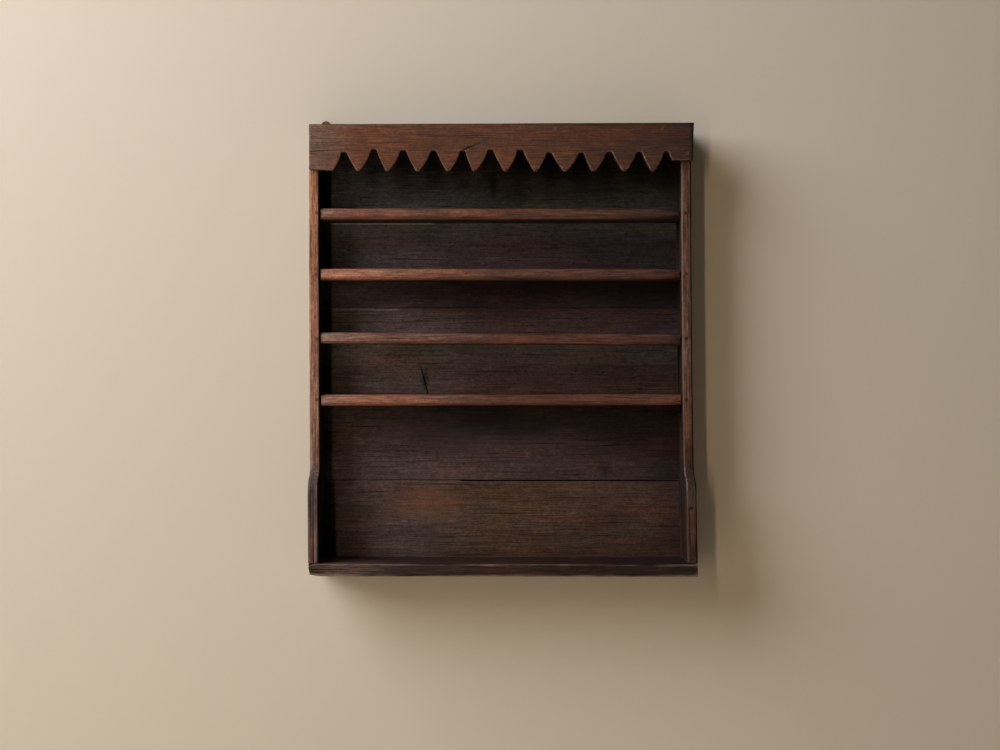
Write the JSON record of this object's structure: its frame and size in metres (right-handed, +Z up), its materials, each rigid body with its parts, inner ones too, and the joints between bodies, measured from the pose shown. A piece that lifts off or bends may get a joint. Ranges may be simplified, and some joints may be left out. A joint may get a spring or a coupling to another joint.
{
  "type": "wall shelf",
  "caption": "Rustic hanging wall shelf in dark old pine: shaped sides that deepen at the foot, open shelves, a hand-cut toothed frieze, plank back and iron hanging plates.",
  "frame": {"origin": "middle of the back on the plane of the wall", "axes": "+Z up, +Y into the wall, +X to the right seen from the front"},
  "size_m": [0.73, 0.146, 0.8773],
  "materials": {
    "side_pine": "old waxed pine, reddish brown, worn along the arrises",
    "shelf_pine": "old waxed pine, orange brown, rubbed along the front edge",
    "frieze_pine": "old stained pine with a dull wax finish",
    "bottom_pine": "old pine, grey brown, worn and dry",
    "back_pine": "smoke-dark unplaned pine, dull",
    "iron": "dark forged iron with brown rust"
  },
  "bodies": {
    "root": {"left_side": "side_pine", "right_side": "side_pine", "top_board": "back_pine", "bottom_board": "bottom_pine", "shelf_1": "shelf_pine", "shelf_2": "shelf_pine", "shelf_3": "shelf_pine", "shelf_4": "shelf_pine", "frieze": "frieze_pine", "back_board_1": "back_pine", "back_board_2": "back_pine", "back_board_3": "back_pine", "back_board_4": "back_pine", "back_board_5": "back_pine", "hanger_left": "iron", "hanger_right": "iron", "back_nails": "iron", "hanger_nails": "iron", "frieze_nails": "iron", "shelf_pins_left": "iron", "shelf_pins_right": "iron", "top_nails": "iron", "bottom_nails": "iron"}
  },
  "joints": []
}
